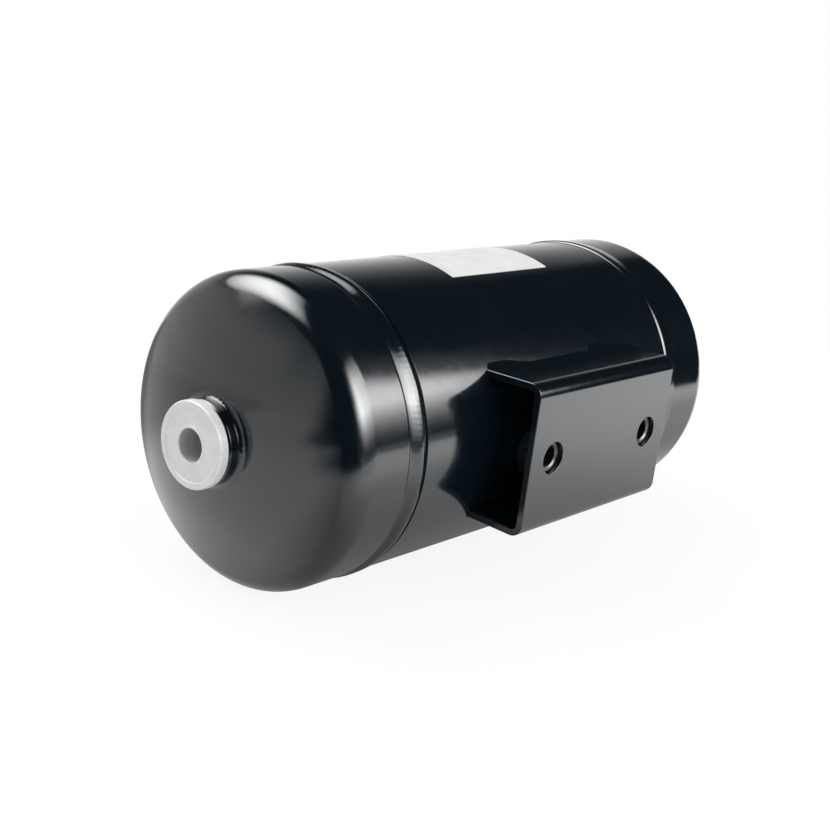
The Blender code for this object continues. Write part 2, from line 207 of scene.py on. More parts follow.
# Fineness. A guard point beside an edge keeps the flat next to it flat in shading.
TANK_SEGMENTS = 360
SMALL_SEGMENTS = 144
HOLE_SEGMENTS = 96
ROOM_SEGMENTS = 96
SMOOTH_ANGLE = math.radians(38.0)
ARC_STEP = math.radians(7.5)
KNUCKLE_STEP = math.radians(1.5)
CROWN_STEP = math.radians(0.7)
CROWN_CHORD = 1.8 * MM
SEAM_BACK_STEP = math.radians(4.0)
BEAD_STEPS = 12
FILLET_STEPS = 10
RIPPLE_SAMPLES = 6
THREAD_SAMPLES = 8
SHEAR_STEPS = 3
LABEL_ROWS = 60
LABEL_COLUMNS = 24
SHELL_STRETCH = 8.0 * MM
HEAD_STRETCH = 5.0 * MM
BOSS_STRETCH = 4.0 * MM
PLUG_STRETCH = 0.4 * MM
MERGE = 0.0005 * MM
GUARD = 0.2 * MM

# Materials. A noise is (scale per metre, detail), a bump (strength, distance), and stops run along a noise.
PAINT_DRIFT = (45.0, 3.0)
PAINT_COLOURS = ((0.3, (0.0025, 0.0062, 0.0098)), (0.7, (0.0035, 0.0080, 0.0120)))
PAINT_HAZE = (220.0, 4.0)
PAINT_ROUGHNESS = ((0.35, 0.10), (0.75, 0.15))
PAINT_PEEL = (420.0, 2.0)
PAINT_BUMP = (0.10, 0.08 * MM)
PAINT_IOR = 1.6
PLASTIC_FLOW = (160.0, 3.0)
PLASTIC_COLOURS = ((0.3, (0.74, 0.75, 0.745)), (0.7, (0.80, 0.81, 0.80)))
# The cup's darker grey is painted shade in the deep recess.
PLASTIC_CUP_SHADE = (0.46, 0.465, 0.46, 1.0)
PLASTIC_GRAIN = (1500.0, 3.0)
PLASTIC_ROUGHNESS = ((0.3, 0.38), (0.7, 0.5))
PLASTIC_BUMP = (0.08, 0.1 * MM)
PLASTIC_DEPTH_SHARE = 0.2
PLASTIC_DEPTH_RADIUS = (1.0, 1.0, 0.95)
PLASTIC_DEPTH = 0.8 * MM
STEEL_SPRAY = (380.0, 4.0)
STEEL_BLACKS = ((0.35, (0.002, 0.004, 0.006)), (0.7, (0.006, 0.008, 0.011)))
STEEL_BARE = ((0.35, 0.09), (0.7, 0.16))
STEEL_ROUGHNESS = ((0.3, 0.85), (0.7, 0.95))
STEEL_POLISH = 0.45
STEEL_BUMP = (0.1, 0.1 * MM)
STEEL_GLOSS = 0.08
FILM_SCUFF = (120.0, 5.0)
FILM_COLOURS = ((0.3, (0.73, 0.74, 0.74)), (0.6, (0.80, 0.81, 0.80)))
FILM_FIBRE = (900.0, 3.0)
FILM_ROUGHNESS = ((0.3, 0.55), (0.7, 0.65))
FILM_BUMP = (0.05, 0.08 * MM)
FILM_GLOSS = 0.2

# Floor, world and the dark room in the gloss. A sector is (middle, half width, softness) of azimuth, turned
# from +X towards +Y, and a fall is a fade with height, both in degrees. A fade is (start, end, first, last),
# and goes from 0 to 1 where it has no first and last.
FLOOR_SIZE = 12.0
FLOOR_WHITE = 0.85
FLOOR_NEAR = 0.28
FLOOR_FAR = 0.75
FLOOR_GLOW = (FLOOR_NEAR, FLOOR_FAR, 1.06, 1.0)
FLOOR_GLOW_SHARE = (FLOOR_NEAR, FLOOR_FAR, 0.85, 1.0)
WORLD_LEVEL = 0.40
ROOM_RADIUS = 4.0
ROOM_DARK = 0.012
BACKDROP_SECTOR = (101.0, 81.0, 4.0)
BACKDROP_FALL = (0.0, 38.0, 1.0, 0.0)
SPILL_SECTOR = (120.0, 50.0, 12.0)
SPILL_FALL = (14.0, 34.0, 0.95, 0.0)
WINDOW_SECTOR = (-77.0, 35.0, 6.0)
WINDOW_LEVEL = 0.6
WINDOW_FALL = (2.0, 14.0, WINDOW_LEVEL, 0.0)

# The floor as the gloss shows it, in fades with the distance along, across or away from the tank.
SHEET_HEIGHT = 0.2 * MM
SHEET_HALF_LENGTH = 0.10
SHEET_END_PULL = math.sqrt(3.0)
# The shade is the tank's shadow on the floor, painted into the sheet's glow, and the boost is painted light
# from the side lamp.
SHEET_SHADE = (0.0, 0.09, 0.15, 1.0)
SHEET_PLAIN = 0.65
SHEET_OPEN_LEAN = 0.35
SHEET_OPEN = (-0.04, 0.01, 0.0, 0.75)
SHEET_OPEN_FROM = (0.09, 0.12)
SHEET_REAR = (0.10, 0.20, 0.0, 0.25)
SHEET_BACK_LEAN = -0.3
SHEET_BACK = (0.08, 0.18, 1.0, 0.62)
SHEET_FAR_BACK = (0.3, 0.7, 0.0, 0.2)
SHEET_THIN = (0.2, 0.9, 1.0, 0.82)
SHEET_FRONT = (-0.07, -0.13, 0.0, 0.42)
SHEET_BOOST = (-0.12, -0.25, 0.0, 1.08)
SHEET_BOOST_ALONG = (-0.30, -0.10, 0.25, 1.0)
SHEET_CENTRE = 0.15
SHEET_STRETCH = 1.2
SHEET_END = (0.43, 0.56)
SHEET_END_SECTOR = (-90.0, 80.0, 6.0)
SHEET_GONE = (0.6, 0.9)
SHEET_GONE_SECTOR = (-90.0, 88.0, 4.0)

# Lamps, and the cards that stand for them in the gloss. Each lies towards an (azimuth, elevation) in degrees
# and has a size of (width, height). A card's stops are (place, share of its radiance).
LIGHT_DISTANCE = 1.0
CARD_CUT_START = 0.52
CARD_CUT_PIVOT = 0.3
SIDE_LIGHT = (-77.0, 26.0)
LAMPS = {
    "side_lamp": {"towards": SIDE_LIGHT, "size": (1.3, 0.7), "radiance": 2.0},
    "top_lamp": {"towards": (113.0, 54.0), "size": (1.0, 0.8), "radiance": 2.2},
    "front_lamp": {"towards": (-160.0, 30.0), "size": (0.9, 0.7), "radiance": 0.35},
}
CARDS = {
    "side_card": {
        "towards": SIDE_LIGHT, "roll": 0.0, "size": (1.6, 1.1), "radiance": 17.0, "cut": 0.85,
        "across": ((0.0, 0.02), (0.09, 0.15), (0.16, 0.43), (0.28, 1.0), (0.36, 1.0), (0.47, 0.82),
                   (0.66, 0.68), (0.81, 0.55), (0.915, 0.45), (0.955, 0.26), (1.0, 0.03)),
        "upward": ((0.0, 0.01), (0.09, 0.04), (0.18, 0.12), (0.27, 0.30), (0.36, 0.61), (0.45, 1.0),
                   (0.55, 1.0), (0.64, 0.84), (0.73, 0.76), (0.82, 0.48), (0.91, 0.2), (1.0, 0.04)),
    },
    "top_card": {
        "towards": (118.5, 54.5), "roll": -18.0, "size": (1.2, 1.0), "radiance": 14.8, "cut": 0.0,
        "across": ((0.0, 0.04), (0.12, 0.30), (0.22, 0.62), (0.34, 0.82), (0.52, 0.95), (0.65, 1.0),
                   (0.78, 0.85), (0.90, 0.40), (1.0, 0.05)),
        "upward": ((0.0, 0.22), (0.12, 0.46), (0.3, 0.78), (0.5, 1.0), (0.65, 0.90), (0.85, 0.40),
                   (1.0, 0.05)),
    },
}

# Camera. Its distance and aim are in shell radii.
PHOTO_AZIMUTH = math.radians(40.53)
PHOTO_ELEVATION = math.radians(10.87)
PHOTO_DISTANCE = 9.6915
PHOTO_AIM_OUT = -0.3145
PHOTO_AIM_UP = -0.1187
TANK_ROLL = math.radians(9.06)
FOCAL_PIXELS = 1388.9
IMAGE_PIXELS = 830
HALF_PIXEL = 0.5 / IMAGE_PIXELS
SENSOR = 36.0


def arc(centre, radius, start, end, step=ARC_STEP):
    """Points on a circular arc, from angle start to angle end."""
    steps = max(2, math.ceil(abs(end - start) / step))
    turns = [start + (end - start) * i / steps for i in range(steps + 1)]
    return [(centre[0] + radius * math.cos(a), centre[1] + radius * math.sin(a)) for a in turns]


def fillet(corners, guard=0.0):
    """A closed outline through (x, y, radius) corners, each rounded by an arc of its own radius. With a
    guard, each arc gets a guard point that far beyond its ends."""
    outline = []
    count = len(corners)
    for i, (x, y, radius) in enumerate(corners):
        corner = Vector((x, y))
        if radius == 0.0:
            outline.append((x, y))
            continue
        before = (Vector(corners[i - 1][:2]) - corner).normalized()
        after = (Vector(corners[(i + 1) % count][:2]) - corner).normalized()
        half = before.angle(after) / 2
        centre = corner + (before + after).normalized() * radius / math.sin(half)
        first = corner + before * radius / math.tan(half) - centre
        last = corner + after * radius / math.tan(half) - centre
        start = math.atan2(first.y, first.x)
        sweep = (math.atan2(last.y, last.x) - start + math.pi) % TURN - math.pi
        turned = arc(centre, radius, start, start + sweep)
        if guard:
            turned.insert(0, tuple(centre + first + before * guard))
            turned.append(tuple(centre + last + after * guard))
        outline += turned
    return outline


def refine(outline, longest, shortest=4 * GUARD):
    """Split the straight stretches of a closed outline, with a guard point near each end. Stretches under
    the shortest length are left alone."""
    fine = []
    for i, point in enumerate(outline):
        here = Vector(point)
        there = Vector(outline[(i + 1) % len(outline)])
        length = (there - here).length
        fine.append(tuple(here))
        if length < shortest:
            continue
        parts = max(1, math.ceil(length / longest))
        shares = [GUARD / length] + [k / parts for k in range(1, parts)] + [1 - GUARD / length]
        fine += [tuple(here.lerp(there, share)) for share in shares]
    return fine


def make_wobble(size, low, high):
    """A smooth random wave over one turn, as a function of the angle: a few sines added up."""
    waves = [(RANDOM.randint(low, high), RANDOM.uniform(0, TURN)) for _ in range(WOBBLE_WAVES)]
    return lambda angle: size * sum(math.sin(n * angle + phase) for n, phase in waves) / len(waves)


def ripple(along, across):
    """Height of a weld's scales, from 0 to 1. Across runs from -1 to 1, and the scales bow back at the
    weld's toes."""
    phase = TURN * (along / RIPPLE_PITCH + RIPPLE_BOW * across ** 2)
    scale = 0.5 + RIPPLE_MAIN * math.cos(phase) + RIPPLE_LEAN * math.sin(2 * phase)
    return scale * max(0.0, 1 - across ** 2)


def add_piece(node, body, material, bm):
    """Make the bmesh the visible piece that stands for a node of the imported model."""
    bmesh.ops.remove_doubles(bm, verts=bm.verts, dist=MERGE)
    bmesh.ops.dissolve_degenerate(bm, dist=MERGE, edges=bm.edges)
    bmesh.ops.recalc_face_normals(bm, faces=bm.faces)
    mesh = bpy.data.meshes.new(node + "_surface")
    bm.to_mesh(mesh)
    bm.free()
    mesh.shade_smooth()
    mesh.set_sharp_from_angle(angle=SMOOTH_ANGLE)
    mesh.materials.append(material)
    piece = bpy.data.objects.new(node + "_surface", mesh)
    bpy.context.collection.objects.link(piece)
    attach(piece, body)
    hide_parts(node)
    return piece


def loft(rings, closed):
    """A bmesh that joins rings of equal length. A closed loft meets itself, an open one gets end faces."""
    bm = bmesh.new()
    loops = [[bm.verts.new(point) for point in ring] for ring in rings]
    pairs = list(zip(loops, loops[1:]))
    if closed:
        pairs.append((loops[-1], loops[0]))
    for low, high in pairs:
        for i in range(len(low)):
            bm.faces.new((low[i - 1], low[i], high[i], high[i - 1]))
    if not closed:
        bm.faces.new(loops[0])
        bm.faces.new(loops[-1])
    return bm


def on_tank(side, outward, radius, angle):
    """A point of the tank, with its angle turned from +Y towards +Z."""
    return (AXIS.x + side * outward, AXIS.y + radius * math.cos(angle), AXIS.z + radius * math.sin(angle))


def lathe(outline, side, segments, wave=None):
    """Turn a closed outline about the tank's axis. Wave may shift each point, given also its angle."""
    rings = []
    for i in range(segments):
        angle = TURN * i / segments
        points = outline if wave is None else [wave(x, r, angle) for x, r in outline]
        rings.append([on_tank(side, x, r, angle) for x, r in points])
    return loft(rings, True)


def thread_wave(bore, pitch, low, high):
    """A wave that cuts a screw thread into the bore's wall between two places along the axis."""
    depth = THREAD_DEPTH_SHARE * pitch

    def wave(along, radius, angle):
        if abs(radius - bore / 2) > GUARD:
            return along, radius
        runout = min(1.0, max(0.0, (along - low) / pitch), max(0.0, (high - along) / pitch))
        turns = along / pitch + angle / TURN
        ridge = abs(2 * (turns - math.floor(turns)) - 1)
        cut = min(1.0, max(0.0, THREAD_STEEPNESS * ridge - THREAD_FLAT))
        return along, radius + runout * depth * cut

    return wave


def shell_end(end):
    """Corners of the shell's wall at one end, where it steps in by its own thickness."""
    outside = [
        (STEP_START[end], SHELL_RADIUS, SHOULDER_ROUND),
        (STEP_START[end] + STEP_RUN, TONGUE_RADIUS, SHOULDER_ROUND),
        (TONGUE_END, TONGUE_RADIUS, SKIRT_ROUND),
    ]
    return outside + [(x, r - WALL, e) for x, r, e in reversed(outside)]


def make_shell(paint):
    """The rolled shell, with each end stepped in under a head's skirt."""
    corners = shell_end("rear") + [(-x, r, e) for x, r, e in reversed(shell_end("front"))]
    bm = lathe(refine(fillet(corners), SHELL_STRETCH), 1, TANK_SEGMENTS)
    return add_piece("shell", "tank", paint, bm)


def head_side(offset):
    """One face of a head, from the end of its skirt to its port hole, offset inwards from the outer face."""
    knuckle_centre = (TANGENT, SHELL_RADIUS - KNUCKLE_RADIUS)
    tilt = math.atan2(knuckle_centre[1], TANGENT - CROWN_CENTRE)
    rim = math.asin(BOSS_RADIUS / (CROWN_RADIUS - offset))
    points = arc(knuckle_centre, KNUCKLE_RADIUS - offset, math.pi / 2, tilt, KNUCKLE_STEP)
    points += arc((CROWN_CENTRE, 0.0), CROWN_RADIUS - offset, tilt, rim, CROWN_STEP)[1:]
    return points


def make_head(end, side, paint):
    """A pressed dished head: straight skirt with a softened edge, knuckle and shallow crown."""
    edge = fillet([
        (TANGENT, SHELL_RADIUS - WALL, 0.0),
        (SKIRT_START, SHELL_RADIUS - WALL, SKIRT_ROUND),
        (SKIRT_START, SHELL_RADIUS, SKIRT_EDGE_ROUND[end]),
        (TANGENT, SHELL_RADIUS, 0.0),
    ])
    outline = edge[1:-1] + head_side(0.0) + head_side(WALL)[::-1]
    bm = lathe(refine(outline, HEAD_STRETCH, CROWN_CHORD), side, TANK_SEGMENTS)
    return add_piece(end + "_head", "tank", paint, bm)


def make_seam_weld(end, side, paint):
    """The bead in the joggled joint: a long rise from the skirt, a crest, and a groove before the shell."""
    crest = BEAD_OUTER - SEAM_REACH[end]
    top = SHELL_RADIUS + SEAM_RISE
    toe = SHELL_RADIUS - SEAM_TOE_DROP[end]
    back = SEAM_BACK_ROUND[end]
    foot = STEP_START[end] + STEP_RUN * GROOVE_DEPTH / WALL
    outline = []
    for i in range(BEAD_STEPS):
        share = i / BEAD_STEPS
        rise = (1 - math.cos(math.pi * share)) / 2
        outline.append((SKIRT_START - (SKIRT_START - crest) * share, toe + rise * (top - toe)))
    turn = math.pi / 2 + SEAM_BACK_TURN[end]
    outline += arc((crest, top - back), back, math.pi / 2, turn, SEAM_BACK_STEP)
    outline.append((foot, SHELL_RADIUS - GROOVE_DEPTH))
    base = [(STEP_START[end] + STEP_RUN, TONGUE_RADIUS), (SKIRT_START, TONGUE_RADIUS)]
    drift = make_wobble(*SEAM_DRIFT)
    swell = make_wobble(*SEAM_SWELL)

    def wave(outward, radius, angle):
        if radius <= SHELL_RADIUS - GROOVE_DEPTH:
            return outward, radius
        half = SKIRT_START - crest if outward > crest else crest - foot
        across = min(1.0, abs(outward - crest) / half)
        crown = 1 - across ** 2
        lift = RIPPLE_HEIGHT * (ripple(angle * SHELL_RADIUS, across) - 0.5) + swell(angle)
        return outward + crown * drift(angle), radius + crown * lift

    segments = round(TURN * SHELL_RADIUS / RIPPLE_PITCH) * RIPPLE_SAMPLES
    bm = lathe(outline + base, side, segments, wave)
    return add_piece(end + "_seam_weld", "tank", paint, bm)


def make_shell_weld(paint):
    """The straight bead that closes the rolled shell, on the side away from the bracket."""
    centre = (shell_bead_low + shell_bead_high) / 2 - AXIS
    angle = math.atan2(centre.z, centre.y)
    length = shell_bead_high.x - shell_bead_low.x
    drift = make_wobble(*SHELL_BEAD_DRIFT)
    stations = round(length / RIPPLE_PITCH * RIPPLE_SAMPLES)
    root_turn = SHELL_BEAD_WIDTH / 3 / SHELL_RADIUS
    root_radius = SHELL_RADIUS - WALL / 2
    rings = []
    for k in range(stations + 1):
        share = k / stations
        x = shell_bead_low.x + share * length
        grown = min(1.0, share * length / SHELL_BEAD_WIDTH, (1 - share) * length / SHELL_BEAD_WIDTH)
        half = SHELL_BEAD_WIDTH / 2 * (SHELL_BEAD_END_SHARE + (1 - SHELL_BEAD_END_SHARE) * grown)
        ring = []
        for i in range(BEAD_STEPS + 1):
            across = 2 * i / BEAD_STEPS - 1
            crown = math.sqrt(max(0.0, 1 - across ** 2))
            lift = grown * crown * (SHELL_BEAD_HEIGHT + RIPPLE_HEIGHT * (ripple(x, across) - 0.5))
            turn = angle + (across * half + drift(share * TURN)) / SHELL_RADIUS
            ring.append((turn, SHELL_RADIUS - SHELL_BEAD_SINK + lift))
        ring += [(angle + root_turn, root_radius), (angle - root_turn, root_radius)]
        rings.append([on_tank(1, x - AXIS.x, radius, turn) for turn, radius in ring])
    return add_piece("shell_seam_weld", "tank", paint, loft(rings, False))


def make_boss(end, side, paint):
    """A turned ring set through the head, with a screw thread in its bore."""
    bore = PORT_BORE / 2
    low = BOSS_INNER + BOSS_CHAMFER
    high = BOSS_FACE - BOSS_CHAMFER
    bore_edge = bore + BOSS_CHAMFER
    face_edge = BOSS_RADIUS - BOSS_CHAMFER
    corners = [
        (high, bore, 0.0),
        (BOSS_FACE, bore_edge, BOSS_BORE_ROUND),
        (BOSS_FACE, face_edge, BOSS_EDGE_ROUND),
        (high, BOSS_RADIUS, BOSS_EDGE_ROUND),
        (low, BOSS_RADIUS, BOSS_EDGE_ROUND),
        (BOSS_INNER, face_edge, BOSS_EDGE_ROUND),
        (BOSS_INNER, bore_edge, BOSS_BORE_ROUND),
        (low, bore, 0.0),
    ]
    samples = round((high - low) / PORT_PITCH * THREAD_SAMPLES)
    wall = [(low + (high - low) * i / samples, bore) for i in range(samples + 1)]
    outside = [point for point in refine(fillet(corners), BOSS_STRETCH) if point[1] > bore + MERGE]
    bm = lathe(outside + wall, side, SMALL_SEGMENTS, thread_wave(PORT_BORE, PORT_PITCH, low, high))
    return add_piece(end + "_port_boss", "tank", paint, bm)


def crown_at(radius):
    """How far out a head's crown lies at a radius."""
    return CROWN_CENTRE + math.sqrt(CROWN_RADIUS ** 2 - radius ** 2)


def make_boss_weld(end, side, paint):
    """The slightly hollow fillet weld between a port boss and the head's crown."""
    leg = BOSS_WELD_LEG
    top = Vector((crown_at(BOSS_RADIUS) + BOSS_WELD_HEIGHT, BOSS_RADIUS))
    toe = Vector((crown_at(BOSS_RADIUS + leg), BOSS_RADIUS + leg))
    drift = make_wobble(*BOSS_WELD_DRIFT)
    outline = []
    for i in range(FILLET_STEPS + 1):
        share = i / FILLET_STEPS
        hollow = BOSS_WELD_HOLLOW * leg * math.sin(share * math.pi)
        outline.append(tuple(top.lerp(toe, share) - Vector((hollow, hollow))))
    root = (crown_at(BOSS_RADIUS) - BOSS_WELD_ROOT, BOSS_RADIUS - BOSS_WELD_INSET)

    def wave(outward, radius, angle):
        if radius < BOSS_RADIUS - MERGE:
            return outward, radius
        across = 2 * (radius - BOSS_RADIUS) / leg - 1
        crown = max(0.0, 1 - across ** 2)
        scales = BOSS_WELD_RIPPLE * RIPPLE_HEIGHT * (ripple(angle * BOSS_RADIUS, across) - 0.5)
        lift = crown * (scales + drift(angle) / 2)
        spread = (1 + across) / 2 * drift(angle + BOSS_WELD_LAG)
        reach = radius + lift + spread
        return outward + lift + (crown_at(reach) - crown_at(radius)) * (1 + across) / 2, reach

    segments = round(TURN * BOSS_RADIUS / RIPPLE_PITCH) * RIPPLE_SAMPLES
    bm = lathe(outline + [root], side, segments, wave)
    return add_piece(end + "_boss_weld", "tank", paint, bm)


def make_plug(end, side, plastic):
    """A moulded push-in plug: wide flange with a raised rim, ribbed hollow shank and a gate mark inside."""
    shank = PORT_BORE / 2 - PLUG_CLEARANCE - PLUG_RIB_HEIGHT
    inner_face = PLUG_FACE - PLUG_RIM_HEIGHT
    lip_face = inner_face + PLUG_LIP_HEIGHT
    rim = PLUG_RADIUS - PLUG_RIM_WIDTH
    lip = CUP_RADIUS + PLUG_LIP_WIDTH
    floor = PLUG_TIP + CUP_FLOOR
    corners = [
        (PLUG_TIP, 0.0, 0.0),
        (PLUG_TIP, shank, PLUG_TIP_ROUND),
        (PLUG_SEAT, shank, PLUG_NECK_ROUND),
        (PLUG_SEAT, PLUG_RADIUS, PLUG_BACK_ROUND),
        (PLUG_FACE, PLUG_RADIUS, PLUG_FACE_ROUND),
        (PLUG_FACE, rim, PLUG_RIM_ROUND),
        (inner_face, rim - PLUG_RIM_HEIGHT, PLUG_RIM_FOOT_ROUND),
        (inner_face, lip + PLUG_LIP_HEIGHT, PLUG_LIP_ROUND),
        (lip_face, lip, PLUG_LIP_ROUND),
        (lip_face, CUP_RADIUS + CUP_FLARE, CUP_MOUTH_ROUND),
        (floor, CUP_RADIUS - CUP_TAPER, CUP_ROUND),
        (floor, GATE_RADIUS, GATE_ROUND),
        (floor + GATE_HEIGHT, GATE_TOP_RADIUS, GATE_ROUND),
        (floor + GATE_HEIGHT, 0.0, 0.0),
    ]
    outline = refine(fillet(corners), PLUG_STRETCH)
    start = PLUG_TIP + PLUG_TIP_ROUND
    middles = [start + (PLUG_SEAT - start) * (i + 0.5) / PLUG_RIBS for i in range(PLUG_RIBS)]

    def wave(outward, radius, angle):
        if abs(radius - shank) > MERGE:
            return outward, radius
        near = min(abs(outward - middle) for middle in middles) / PLUG_RIB_HALF_WIDTH
        return outward, radius + PLUG_RIB_HEIGHT * max(0.0, 1 - near)

    bm = lathe(outline, side, SMALL_SEGMENTS, wave)
    return add_piece(end + "_plug", end + "_plug", plastic, bm)


def flange_depth(height):
    """How deep a bracket flange reaches to the shell, at a height from the tank's axis."""
    return AXIS.y - math.sqrt(SHELL_RADIUS ** 2 - height ** 2)


def cut_hole(bracket, end, x):
    """Cut a round bolt hole through the bracket's web."""
    name = end + "_bolt_cutter"
    bm = bmesh.new()
    place = Matrix.Translation((x, 0, 0)) @ Matrix.Rotation(TURN / 4, 4, "X")
    bmesh.ops.create_cone(bm, cap_ends=True, segments=HOLE_SEGMENTS, radius1=BOLT_HOLE_RADIUS,
                          radius2=BOLT_HOLE_RADIUS, depth=4 * SHEET, matrix=place)
    mesh = bpy.data.meshes.new(name)
    bm.to_mesh(mesh)
    bm.free()
    cutter = bpy.data.objects.new(name, mesh)
    bpy.context.collection.objects.link(cutter)
    cut = bracket.modifiers.new(end + "_bolt_hole", "BOOLEAN")
    cut.object = cutter
    bpy.ops.object.modifier_apply(modifier=cut.name)
    bpy.data.objects.remove(cutter)


def make_bracket(paint):
    """The sheet bent to a channel, with softened shear edges and two bolt holes."""
    height = bracket_high.z
    inner = height - SHEET
    bend = INNER_BEND + SHEET
    tip = height - FLANGE_DROP
    inner_tip = inner - FLANGE_DROP
    corners = [
        (flange_depth(tip), tip, 0.0),
        (0.0, height, bend),
        (0.0, -height, bend),
        (flange_depth(tip), -tip, 0.0),
        (flange_depth(inner_tip), -inner_tip, 0.0),
        (SHEET, -inner, INNER_BEND),
        (SHEET, inner, INNER_BEND),
        (flange_depth(inner_tip), inner_tip, 0.0),
    ]
    section = fillet(corners, GUARD)
    rings = [[(x, y, z) for y, z in section] for x in (bracket_low.x, bracket_high.x)]
    bracket = add_piece("bracket", "tank", paint, loft(rings, False))
    bpy.context.view_layer.objects.active = bracket
    for end, _ in SIDES:
        nut_low, nut_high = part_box(end + "_weld_nut")
        cut_hole(bracket, end, (nut_low.x + nut_high.x) / 2)
    soften = bracket.modifiers.new("shear_edges", "BEVEL")
    soften.width = SHEAR_ROUND
    soften.segments = SHEAR_STEPS
    soften.limit_method = "ANGLE"
    soften.angle_limit = SHEAR_ANGLE
    soften.harden_normals = True
    bpy.ops.object.modifier_apply(modifier=soften.name)
    return bracket


def make_nut(end, steel):
    """A hexagon weld nut behind the web: pilot in the bolt hole, chamfered corners, threaded bore. The last
    value of an outline's point is 1 where it follows the hexagon."""
    low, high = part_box(end + "_weld_nut")
    centre_x = (low.x + high.x) / 2
    flat_radius = (high.z - low.z) / 2
    seat = low.y + NUT_PILOT_HEIGHT
    bore = NUT_BORE / 2
    samples = round((high.y - low.y) / NUT_PITCH * THREAD_SAMPLES)
    start = low.y + NUT_BORE_CHAMFER
    stop = high.y - NUT_BORE_CHAMFER
    wave = thread_wave(NUT_BORE, NUT_PITCH, start, stop)
    outline = [(stop - (stop - start) * i / samples, bore, 0.0) for i in range(samples + 1)]
    outline += [
        (low.y, bore + NUT_BORE_CHAMFER, 0.0),
        (low.y, NUT_PILOT_RADIUS - NUT_PILOT_CHAMFER, 0.0),
        (low.y + NUT_PILOT_CHAMFER, NUT_PILOT_RADIUS, 0.0),
        (seat, NUT_PILOT_RADIUS, 0.0),
        (seat, flat_radius, 1.0),
        (high.y - NUT_CHAMFER, flat_radius, 1.0),
        (high.y, flat_radius - NUT_CHAMFER, 0.0),
        (high.y, bore + NUT_BORE_CHAMFER, 0.0),
    ]
    rings = []
    for i in range(SMALL_SEGMENTS):
        angle = TURN * i / SMALL_SEGMENTS
        flat = math.cos((angle + TURN / 12) % (TURN / 6) - TURN / 12)
        ring = []
        for along, radius, hexagonal in outline:
            along, radius = wave(along, radius, angle)
            radius *= 1 + hexagonal * (1 / flat - 1)
            ring.append((centre_x + radius * math.sin(angle), along, radius * math.cos(angle)))
        rings.append(ring)
    return add_piece(end + "_weld_nut", "tank", steel, loft(rings, True))


def make_stitch_weld(level_name, level, end, paint):
    """One of the short welds that hold the bracket's flanges to the shell: blunt at its start, run out thin
    at its end, slightly hollow and with faint scales."""
    node = level_name + "_" + end + "_bracket_weld"
    low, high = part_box(node)
    base = bracket_high.z - FLANGE_DROP
    length = high.x - low.x
    stations = round(length / RIPPLE_PITCH * RIPPLE_SAMPLES)
    swell = make_wobble(*STITCH_SWELL)
    out = Vector((-1.0, 1.0)).normalized()
    rings = []
    for k in range(stations + 1):
        share = k / stations
        x = low.x + share * length
        start = min(1.0, share * length / STITCH_START)
        runout = min(1.0, (1 - share) * length / STITCH_RUNOUT)
        grown = math.sqrt(max(STITCH_BLUNT, start * (2 - start)))
        grown *= STITCH_TIP + (1 - STITCH_TIP) * runout ** 2 * (3 - 2 * runout)
        size = STITCH_LEG * grown * (1 + swell(share * TURN))
        flange_toe = Vector((flange_depth(base) - size, base))
        shell_toe = Vector((flange_depth(base + size), base + size))
        ring = []
        for i in range(FILLET_STEPS + 1):
            across = 2 * i / FILLET_STEPS - 1
            hollow = STITCH_HOLLOW * size * max(0.0, 1 - across ** 2)
            lift = STITCH_RIPPLE * RIPPLE_HEIGHT * ripple(x, across) - hollow
            ring.append(flange_toe.lerp(shell_toe, i / FILLET_STEPS) + out * lift)
        ring.append(shell_toe + Vector((STITCH_ROOT, -STITCH_ROOT)))
        ring.append(Vector((flange_depth(base) + STITCH_ROOT, base - STITCH_ROOT)))
        ring.append(flange_toe + Vector(STITCH_HEEL))
        rings.append([(x, point.x, level * point.y) for point in ring])
    return add_piece(node, "tank", paint, loft(rings, False))


def make_label(film):
    """A blank label: thin film with rounded corners, laid round the top of the shell."""
    width = label_high.x - label_low.x
    middle = (label_low.x + label_high.x) / 2
    outer = label_high.z - AXIS.z
    half = math.asin((label_high.y - label_low.y) / 2 / outer) * SHELL_RADIUS
    rings = []
    for k in range(LABEL_ROWS + 1):
        place = -math.cos(math.pi * k / LABEL_ROWS) * half
        over = max(0.0, abs(place) - (half - LABEL_CORNER))
        reach = width / 2 - LABEL_CORNER + math.sqrt(max(0.0, LABEL_CORNER ** 2 - over ** 2))
        angle = TURN / 4 + place / SHELL_RADIUS
        xs = [middle + reach * (2 * i / LABEL_COLUMNS - 1) for i in range(LABEL_COLUMNS + 1)]
        ring = [on_tank(1, x - AXIS.x, SHELL_RADIUS + LABEL_LIFT, angle) for x in xs]
        ring += [on_tank(1, x - AXIS.x, SHELL_RADIUS + LABEL_TOP, angle) for x in reversed(xs)]
        rings.append(ring)
    return add_piece("label", "tank", film, loft(rings, False))


def operate(tree, operation, *values):
    """A math node over sockets or plain numbers."""
    node = tree.nodes.new("ShaderNodeMath")
    node.operation = operation
    for value, socket in zip(values, node.inputs):
        if isinstance(value, (int, float)):
            socket.default_value = value
        else:
            tree.links.new(value, socket)
    return node.outputs[0]


def product_of(tree, *values):
    """Sockets or plain numbers, multiplied."""
    return reduce(lambda first, second: operate(tree, "MULTIPLY", first, second), values)


def sum_of(tree, *values):
    """Sockets or plain numbers, added up."""
    return reduce(lambda first, second: operate(tree, "ADD", first, second), values)


def hypotenuse(tree, x, y):
    """The distance that two sockets at right angles make."""
    return operate(tree, "SQRT", sum_of(tree, product_of(tree, x, x), product_of(tree, y, y)))


def length_of(tree, vector):
    """The length of a vector."""
    node = tree.nodes.new("ShaderNodeVectorMath")
    node.operation = "LENGTH"
    tree.links.new(vector, node.inputs[0])
    return node.outputs["Value"]


